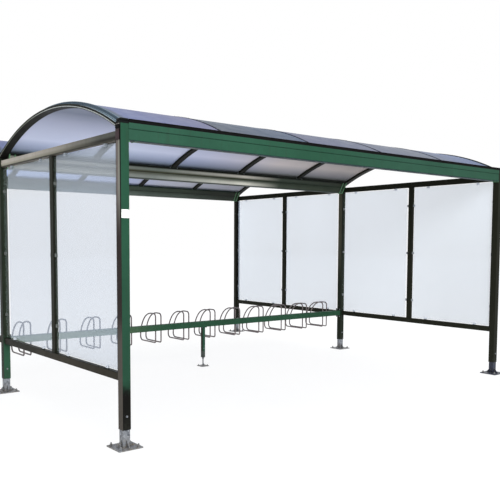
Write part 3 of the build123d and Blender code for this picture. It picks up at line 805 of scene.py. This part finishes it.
def build_feet():
    fix = Piece("anchor_fixings", "steel", "galvanised_steel")
    welds = Piece("foot_welds", "weld", "galvanised_steel", 60.0)
    bolts = Piece("post_bolts", "steel", "galvanised_steel")
    for cx, cy, sx in POSTS:
        for dx in (-75, 75):
            for dy in (-75, 75):
                c = (cx + dx, cy + dy, 10.0)
                fix.washer(c, (0, 0, 1), 13.0, 2.5)
                fix.hexagon((c[0], c[1], 12.5), (0, 0, 1), 19.0, 10.0, random.uniform(0, 1))
                fix.stud((c[0], c[1], 22.0), (0, 0, 1), 5.8, 12.0)
        s = 30.0
        z = 10.5
        gaps = 4.0
        for a, b in (((-s, -s), (s, -s)), ((s, -s), (s, s)), ((s, s), (-s, s)), ((-s, s), (-s, -s))):
            mid = ((a[0] + b[0]) / 2, (a[1] + b[1]) / 2)
            for p, q in ((a, mid), (mid, b)):
                # the bead stops at the gusset in the middle of each side
                d = Vector((q[0] - p[0], q[1] - p[1]))
                d.normalize()
                lo = Vector(p) + (d * gaps if p is mid else d * 0)
                hi = Vector(q) - (d * gaps if q is mid else d * 0)
                welds.sweep([(cx + lo.x, cy + lo.y, z), (cx + hi.x, cy + hi.y, z)], 3.2, 7, wave=0.16, step=3.2)
        for k in range(4):
            t = math.radians(90 * k)
            ux, uy = math.cos(t), math.sin(t)
            nx, ny = -uy, ux
            for side in (-1, 1):
                o = 2.6 * side
                welds.sweep([(cx + ux * 31 + nx * o, cy + uy * 31 + ny * o, z + 1), (cx + ux * 73 + nx * o, cy + uy * 73 + ny * o, z)], 2.4, 6, wave=0.16, step=3.0)
                welds.sweep([(cx + ux * 30.6 + nx * o, cy + uy * 30.6 + ny * o, z + 3), (cx + ux * 30.6 + nx * o, cy + uy * 30.6 + ny * o, 62)], 2.4, 6, wave=0.16, step=3.0)
        for sy in (-1, 1):
            bolts.bolt((cx, cy + sy * 35.0, 240.0), (0, sy, 0), 13.0, 6.0, random.uniform(0, 1))
    for dx in (-40, 40):
        for dy in (-40, 40):
            fix.washer((dx, dy, 8.0), (0, 0, 1), 9.0, 1.6)
            fix.hexagon((dx, dy, 9.6), (0, 0, 1), 13.0, 6.5, random.uniform(0, 1))
            fix.stud((dx, dy, 15.5), (0, 0, 1), 3.9, 8.0)
    fix.washer((0, 0, 8.0), (0, 0, 1), 17.0, 2.5)
    fix.hexagon((0, 0, 10.5), (0, 0, 1), 24.0, 12.0)
    fix.hexagon((0, 0, 92.0), (0, 0, 1), 24.0, 12.0, 0.3)
    fix.washer((0, 0, 104.5), (0, 0, 1), 16.0, 2.5)
    fix.stud((0, 0, 22.0), (0, 0, 1), 8.6, 70.0)
    fix.emit()
    welds.emit()
    bolts.emit()


def build_rack():
    welds = Piece("hoop_welds", "weld", "galvanised_steel", 60.0)
    for i in range(12):
        for s in (-1, 1):
            x = (i - 5.5) * 400.0 - 22.0 + s * 37.5
            for o in (-1, 1):
                welds.sweep([(x + o * 6.4, 37.0, 500.0), (x + o * 6.4, 37.0, 560.0)], 2.6, 7, wave=0.15, step=3.2)
    welds.emit()
    plates = Piece("rack_end_plates", "green", "green_paint")
    bolts = Piece("rack_bolts", "steel", "galvanised_steel")
    for sx in (-1, 1):
        x0, x1 = sorted((sx * 2423.0, sx * 2429.6))
        for y0, y1, z0, z1 in ((-52, 52, 566, 592), (-52, 52, 468, 494)):
            plates.box(x0, x1, y0, y1, z0, z1, 1.2)
        for y0, y1 in ((-52, -36), (36, 52)):
            plates.box(x0, x1, y0, y1, 494, 566, 1.2)
        for y in (-24, 24):
            for z in (479, 581):
                bolts.bolt((sx * 2423.0, y, z), (-sx, 0, 0), 13.0, 5.5, random.uniform(0, 1))
    # flange between the leg and the underside of the bar
    plates.box(-36, 36, -34, -20.4, 489, 494.8, 1.0)
    plates.box(-36, 36, 20.4, 34, 489, 494.8, 1.0)
    plates.box(-36, -20.4, -20.4, 20.4, 489, 494.8, 1.0)
    plates.box(20.4, 36, -20.4, 20.4, 489, 494.8, 1.0)
    for x in (-28, 28):
        for y in (-26, 26):
            bolts.hexagon((x, y, 489.0), (0, 0, -1), 10.0, 4.5, random.uniform(0, 1))
    plates.emit()
    bolts.dome((0, -20.0, 225.0), (0, -1, 0), 6.0, 3.0)
    bolts.dome((0, 20.0, 225.0), (0, 1, 0), 6.0, 3.0)
    bolts.emit()


def build_glazing():
    screws = Piece("clip_screws", "steel", "galvanised_steel")
    liners = Piece("clip_liners", "liner", "black_rubber")
    bays = []
    for s in (-1, 1):
        bays.append(sorted((s * 35.0, s * 1216.0)))
        bays.append(sorted((s * 1284.0, s * 2465.0)))
    z0, z1, reach, half = 560.0, 2278.0, 24.0, 15.0
    for sx in (-1, 1):
        cx = sx * 2465.0
        for y0, y1 in bays:
            spots = []
            for z in (800.0, 1420.0, 2040.0):
                spots.append((y0, y0 + reach, z - half, z + half, "y", 1))
                spots.append((y1 - reach, y1, z - half, z + half, "y", -1))
            for y in (y0 + 230.0, y1 - 230.0):
                spots.append((y - half, y + half, z0, z0 + reach, "z", 1))
                spots.append((y - half, y + half, z1 - reach, z1, "z", -1))
            for a0, a1, b0, b1, kind, way in spots:
                ym, zm = (a0 + a1) / 2, (b0 + b1) / 2
                if kind == "y":
                    ym = a0 + 17.0 if way > 0 else a1 - 17.0
                else:
                    zm = b0 + 17.0 if way > 0 else b1 - 17.0
                for side in (-1, 1):
                    screws.dome((cx + side * 9.0, ym, zm), (side, 0, 0), 4.4, 2.4, 12)
                    # lip of the liner along the inner edge of the clip
                    xa, xb = sorted((cx + side * 4.1, cx + side * 6.4))
                    if kind == "y":
                        ya, yb = (a1 - 0.4, a1 + 1.6) if way > 0 else (a0 - 1.6, a0 + 0.4)
                        liners.box(xa, xb, ya, yb, b0, b1, 0.5)
                    else:
                        za, zb = (b1 - 0.4, b1 + 1.6) if way > 0 else (b0 - 1.6, b0 + 0.4)
                        liners.box(xa, xb, a0, a1, za, zb, 0.5)
    screws.emit()
    liners.emit()
    # one sheet of film per pane on the inner face of the glass, with clear borders
    for sx, word, clear in ((-1, "left", 133.0), (1, "right", 72.0)):
        sheet = Piece("wall_film_" + word, "film_" + word, "wall_glass")
        x = sx * (2465.0 - 8.0)
        for y0, y1 in bays:
            ya = clear if abs(y0) < 100 and y0 > 0 else y0 + 24.0
            yb = -clear if abs(y1) < 100 and y1 < 0 else y1 - 24.0
            sheet.panel_x(x, ya, yb, 568.0, 2270.0)
        sheet.emit(closed=False)
    # screws that hold rails and mullions
    heads = Piece("frame_screws", "dark_screw", "green_paint")
    for sx in (-1, 1):
        for side in (-1, 1):
            x = sx * 2465.0 + side * 22.5
            for y0, y1 in ((-2465.0, -35.0), (35.0, 2465.0)):
                for za, zb in ((500.0, 560.0), (2278.0, 2346.0)):
                    for y in (y0 + 22.0, y1 - 22.0):
                        for z in (za + 17.0, zb - 17.0):
                            heads.dome((x, y, z), (side, 0, 0), 5.2, 2.6, 12)
            x = sx * 2465.0 + side * 18.0
            for y in (-1250.0, 1250.0):
                for z in (578.0, 2260.0):
                    for dy in (-14.0, 14.0):
                        heads.dome((x, y + dy, z), (side, 0, 0), 4.4, 2.2, 12)
    heads.emit()
    # folded feet at the ends of the mullions
    angle = Piece("mullion_cleats", "dark", "green_paint")
    for sx in (-1, 1):
        for side in (-1, 1):
            for y in (-1250.0, 1250.0):
                xa, xb = sorted((sx * 2465.0 + side * 18.1, sx * 2465.0 + side * 20.2))
                xc, xd = sorted((sx * 2465.0 + side * 18.1, sx * 2465.0 + side * 22.3))
                angle.box(xa, xb, y - 31, y + 31, 562.4, 592, 0.6)
                angle.box(xc, xd, y - 31, y + 31, 560.2, 562.6, 0.6)
                angle.box(xa, xb, y - 31, y + 31, 2246, 2275.6, 0.6)
                angle.box(xc, xd, y - 31, y + 31, 2275.4, 2277.8, 0.6)
    angle.emit()


def build_gutters():
    fold = Piece("gutter_folds", "fold", "green_paint")
    collar = Piece("gutter_collars", "collar", "green_paint")
    lips = Piece("valley_lips", "rubber", "black_rubber")
    rivets = Piece("gutter_rivets", "collar", "green_paint")
    z0, z1 = 2270.0, 2414.0
    # outline of the sloping walls: (y at the bottom, y at the top)
    slopes = [(35.0, 115.0), (-35.0, -115.0), (2465.0, 2385.0), (-2465.0, -2385.0)]
    for yb, yt in slopes:
        s = 1.0 if yt > yb else -1.0
        run, rise = abs(yt - yb), z1 - z0
        nrm = Vector((0, s * rise, -run)).normalized()   # out of the wall, downwards

        def at(z, out):
            f = (z - z0) / rise
            return (yb + (yt - yb) * f + nrm.y * out, z + nrm.z * out)

        # seam half way up the wall, near-black as painted shade in the fold
        for za, zb, out in ((2343.0, 2347.0, 1.4),):
            fold.prism_x([at(za, -0.2), at(za, out), at(zb, out), at(zb, -0.2)], -2428.0, 2428.0)
        # lip under the flange
        lips.prism_x([at(2409.0, -0.2), at(2409.0, 4.5), at(2413.8, 4.5), at(2413.8, -0.2)], -2428.0, 2428.0)
        for sx in (-1, 1):
            for x0, x1, out in ((2366.0, 2374.0, 4.0), (2421.0, 2429.6, 7.0)):
                xa, xb = sorted((sx * x0, sx * x1))
                collar.prism_x([at(2270.4, 0.0), at(2270.4, out), at(2412.5, out), at(2412.5, 0.0)], xa, xb)
                if abs(yb) < 100:
                    if yb > 0:
                        collar.box(xa, xb, -36.5, 36.5, 2270.0 - out, 2270.0, 0.8)
                else:
                    y0, y1 = sorted((math.copysign(2463.0, yb), math.copysign(2531.0, yb)))
                    collar.box(xa, xb, y0, y1, 2270.0 - out, 2270.0, 0.8)
            for k in range(4):
                z = 2292.0 + k * 30.0
                y, zz = at(z, 0.0)
                rivets.dome((sx * 2400.0, y, zz), tuple(nrm), 3.2, 1.8, 10)
    # drips and screws along the underside
    for y in (0.0, -2500.0, 2500.0):
        for k in range(13):
            rivets.dome((-2340.0 + k * 390.0, y, 2270.0), (0, 0, -1), 5.0, 2.4, 12)
    fold.emit()
    collar.emit()
    lips.emit()
    rivets.emit()
    # bottom drip edge of the fascia
    drip = Piece("fascia_drip", "drip", "green_paint")
    for s in (-1, 1):
        y0, y1 = sorted((s * 2533.0, s * 2536.4))
        drip.box(-2428.0, 2428.0, y0, y1, 2270.0, 2276.0, 0.9)
    drip.emit()


def build_roof():
    cleats = Piece("rib_cleats", "arch", "green_paint")
    bolts = Piece("rib_bolts", "steel", "galvanised_steel")
    for s in (-1, 1):
        for x in RIBS_X:
            for dy in (-1, 1):
                cy = s * ARC_Y + dy * 1136.0
                for side in (-1, 1):
                    xa, xb = sorted((x + side * 30.2, x + side * 34.2))
                    xc, xd = sorted((x + side * 30.2, x + side * 62.0))
                    cleats.box(xa, xb, cy - 13, cy + 13, 2417.2, 2438.0, 0.8)
                    cleats.box(xc, xd, cy - 13, cy + 13, 2417.2, 2421.2, 0.8)
                    bolts.hexagon((x + side * 48.0, cy, 2421.2), (0, 0, 1), 13.0, 5.5, random.uniform(0, 1))
                    bolts.hexagon((x + side * 34.2, cy, 2430.0), (side, 0, 0), 10.0, 4.0, random.uniform(0, 1))
                # nut under the flange
                for side in (-1, 1):
                    bolts.hexagon((x + side * 48.0, cy + dy * -2.0, 2414.0), (0, 0, -1), 13.0, 6.0, random.uniform(0, 1))
    cleats.emit()
    bolts.emit()

    screws = Piece("cover_screws", "steel", "galvanised_steel")
    for s in (-1, 1):
        cy = s * ARC_Y
        for x in RIBS_X:
            for k in range(-5, 6):
                a = math.radians(k * 4.7)
                p = (x, cy + 2741.0 * math.sin(a), ARC_Z + 2741.0 * math.cos(a))
                screws.dome(p, (0, math.sin(a), math.cos(a)), 4.6, 2.6, 12)
    screws.emit()

    light = Piece("arch_trims", "arch_line", "green_paint", 30.0)
    dark = Piece("arch_beads_and_shade_strips", "rubber", "black_rubber", 30.0)
    rivets = Piece("arch_rivets", "dark_screw", "green_paint")
    lim = math.degrees(math.asin(1213.0 / 2710.0))
    for s in (-1, 1):
        cy = s * ARC_Y
        for sx in (-1, 1):
            xa, xb = sorted((sx * 2500.0, sx * 2502.0))
            light.band(2698.5, 2706.5, xa, xb, cy, -lim, lim, 96)
            xa, xb = sorted((sx * 2500.0, sx * 2501.2))
            # painted shade: the dark strip just above the pale trim stands for the shade in a groove; below the trim
            # runs a dark strip along the inner edge
            dark.band(2708.0, 2712.0, xa, xb, cy, -lim, lim, 96)
            dark.band(2694.6, 2697.4, xa, xb, cy, -lim, lim, 96)
            # bead along the top of the arch
            xa, xb = sorted((sx * 2480.0, sx * 2485.0))
            dark.band(2721.4, 2723.4, xa, xb, cy, -lim + 0.6, lim - 0.6, 96)
            for k in range(-12, 13):
                a = math.radians(k * 2.05)
                p = (sx * 2502.0, cy + 2702.5 * math.sin(a), ARC_Z + 2702.5 * math.cos(a))
                rivets.dome(p, (sx, 0, 0), 2.6, 1.3, 10)
    light.emit()
    dark.emit()
    rivets.emit()

    # U profiles that close the cut ends of the sheets at the eaves and at the valley
    ends = Piece("sheet_edge_profiles", "edge_profile", "cover_aluminium", 30.0)
    edges = (-2445.0,) + RIBS_X + (2445.0,)
    for s in (-1, 1):
        for k in range(5):
            x0 = edges[k] + (7.0 if k else 2.0)
            x1 = edges[k + 1] - (7.0 if k < 4 else 2.0)
            for limit, way in ((1212.0, 1), (1190.0, -1)):
                a = math.asin(limit / 2730.0) * way * s
                cy = s * ARC_Y
                t = Vector((math.cos(a), -math.sin(a))) * (1 if a > 0 else -1)   # onwards past the cut
                n = Vector((math.sin(a), math.cos(a)))

                def pt(r, d):
                    return (cy + n.x * r + t.x * d, ARC_Z + n.y * r + t.y * d)

                if way > 0:
                    out = [pt(2720.6, -1.0), pt(2720.6, 4.5), pt(2739.6, 4.5), pt(2739.6, -16.0), pt(2738.1, -16.0), pt(2738.1, 3.2), pt(2721.9, 3.2), pt(2721.9, -1.0)]
                else:
                    out = [pt(2720.6, -18.0), pt(2720.6, 6.0), pt(2739.6, 6.0), pt(2739.6, -16.0), pt(2738.1, -16.0), pt(2738.1, 4.6), pt(2721.9, 4.6), pt(2721.9, -18.0)]
                ends.prism_x(out, x0, x1)
    ends.emit()

    pads = Piece("arch_end_pads", "rubber", "black_rubber")
    for s in (-1, 1):
        for sx in (-1, 1):
            x0, x1 = sorted((sx * 2428.5, sx * 2501.4))
            for y in (s * 35.0, s * 2465.0):
                away = 1.0 if (y == s * 35.0) == (s > 0) else -1.0
                ya, yb = sorted((y, y + away * 3.2))
                pads.box(x0, x1, ya, yb, 2368.0, 2403.5, 0.8)
    pads.emit()


def build_caps():
    crown = Piece("cap_crowns", "black_plastic", "black_plastic", 50.0)
    for cx, cy, sx in POSTS:
        crown.box(cx - 34.0, cx + 34.0, cy - 34.0, cy + 34.0, 2409.6, 2430.0, 4.5)
    crown.emit()
    gasket = Piece("post_gaskets", "rubber", "black_rubber")
    for sx in (-1, 1):
        for sy in (-1, 1):
            y0, y1 = sorted((sy * 2465.0, sy * 2457.5))
            for x0, x1 in ((sx * 2465.0 - 33.0, sx * 2465.0 - 6.0), (sx * 2465.0 + 6.0, sx * 2465.0 + 33.0)):
                gasket.box(x0, x1, y0, y1, 561.0, 2277.0, 1.2)
    gasket.emit()
    lips = Piece("gutter_seal_lips", "rubber", "black_rubber")
    for sy in (-1, 1):
        y0, y1 = sorted((sy * 2535.4, sy * 2527.0))
        lips.box(-2430.0, 2430.0, y0, y1, 2417.6, 2428.0, 1.5)
    lips.emit()
    ends = Piece("roof_end_strips", "cover", "cover_aluminium", 30.0)
    top = math.degrees(math.asin(1196.0 / 2740.0))
    for s in (-1, 1):
        for sx in (-1, 1):
            xa, xb = sorted((sx * 2449.0, sx * 2461.0))
            ends.band(2739.0, 2746.0, xa, xb, s * ARC_Y, -top, top, 96)
    ends.emit()
    plate = Piece("gutter_end_brackets", "bracket", "green_paint")
    dark = Piece("gutter_end_plugs", "rubber", "black_rubber")
    heads = Piece("gutter_end_screws", "dark_screw", "green_paint")
    for sx in (-1, 1):
        for y in (-2500.0, 2500.0):
            x0, x1 = sorted((sx * 2500.2, sx * 2507.0))
            plate.box(x0, x1, y - 22.0, y + 30.0, 2274.0, 2352.0, 1.6)
            dark.box(x0, x1, y - 24.0, y + 32.0, 2354.0, 2384.0, 3.0)
            for z in (2288.0, 2338.0):
                heads.dome((sx * 2507.0, y + 4.0, z), (sx, 0, 0), 5.4, 2.6, 14)
    plate.emit()
    dark.emit()
    heads.emit()


def build_label():
    rim = Piece("label_rim", "steel", "galvanised_steel")
    x, y, z = -2465.0, -2536.5, 1741.0
    for sx in (-1, 1):
        for sz in (-1, 1):
            rim.dome((x + sx * 25.5, y, z + sz * 25.5), (0, -1, 0), 2.2, 1.1, 12)
    rim.emit()


build_feet()
build_rack()
build_glazing()
build_gutters()
build_roof()
build_caps()
build_label()


# ---------------------------------------------------------------- the stage
def make_stage():
    t = Tree("floor")
    c = t.mix(t.span(t.noise(0.7, 4.0, 0.6), 0.3, 0.7), (0.118, 0.118, 0.119, 1), (0.124, 0.124, 0.124, 1))
    p = t.principled(Base_Color=c, Normal=t.bump(t.noise(60.0, 3.0, 0.6), 0.05, 0.001))
    t.put(p.inputs["Emission Color"], t.mix(t.span(t.noise(0.5, 3.0, 0.6), 0.3, 0.7), (0.985, 0.99, 1.0, 1), (1.0, 1.0, 1.0, 1)))
    p.inputs["Emission Strength"].default_value = 0.86
    p.inputs["Roughness"].default_value = 0.8
    p.inputs["Specular IOR Level"].default_value = 0.1
    m = t.finish(p.outputs[0])
    bm = bmesh.new()
    bmesh.ops.create_grid(bm, x_segments=8, y_segments=8, size=60.0)
    me = bpy.data.meshes.new("floor")
    bm.to_mesh(me)
    bm.free()
    me.materials.append(m)
    o = bpy.data.objects.new("floor", me)
    bpy.context.scene.collection.objects.link(o)

    w = bpy.data.worlds.new("studio")
    w.use_nodes = True
    bpy.context.scene.world = w
    nt = w.node_tree
    nt.nodes.clear()
    out = nt.nodes.new("ShaderNodeOutputWorld")
    seen = nt.nodes.new("ShaderNodeBackground")
    seen.inputs[0].default_value = (1, 1, 1, 1)
    seen.inputs[1].default_value = 1.0
    soft = nt.nodes.new("ShaderNodeBackground")
    soft.inputs[0].default_value = (0.95, 0.975, 1, 1)
    soft.inputs[1].default_value = 1.15
    path = nt.nodes.new("ShaderNodeLightPath")
    mixer = nt.nodes.new("ShaderNodeMixShader")
    nt.links.new(path.outputs["Is Camera Ray"], mixer.inputs[0])
    nt.links.new(soft.outputs[0], mixer.inputs[1])
    nt.links.new(seen.outputs[0], mixer.inputs[2])
    nt.links.new(mixer.outputs[0], out.inputs["Surface"])


def area(name, place, target, size, power, colour=(1, 1, 1)):
    d = bpy.data.lights.new(name, "AREA")
    d.shape = "RECTANGLE"
    d.size, d.size_y = size
    d.energy = power
    d.color = colour
    o = bpy.data.objects.new(name, d)
    o.location = place
    o.rotation_euler = (Vector(target) - Vector(place)).to_track_quat("-Z", "Y").to_euler()
    bpy.context.scene.collection.objects.link(o)
    return o


make_stage()
area("key_softbox", (-3.0, -13.0, 7.5), (0, -1.0, 1.4), (9.0, 5.0), 1400.0, (1.0, 0.98, 0.95))
area("top_softbox", (2.0, 2.0, 11.0), (0, 0, 2.0), (10.0, 10.0), 700.0)
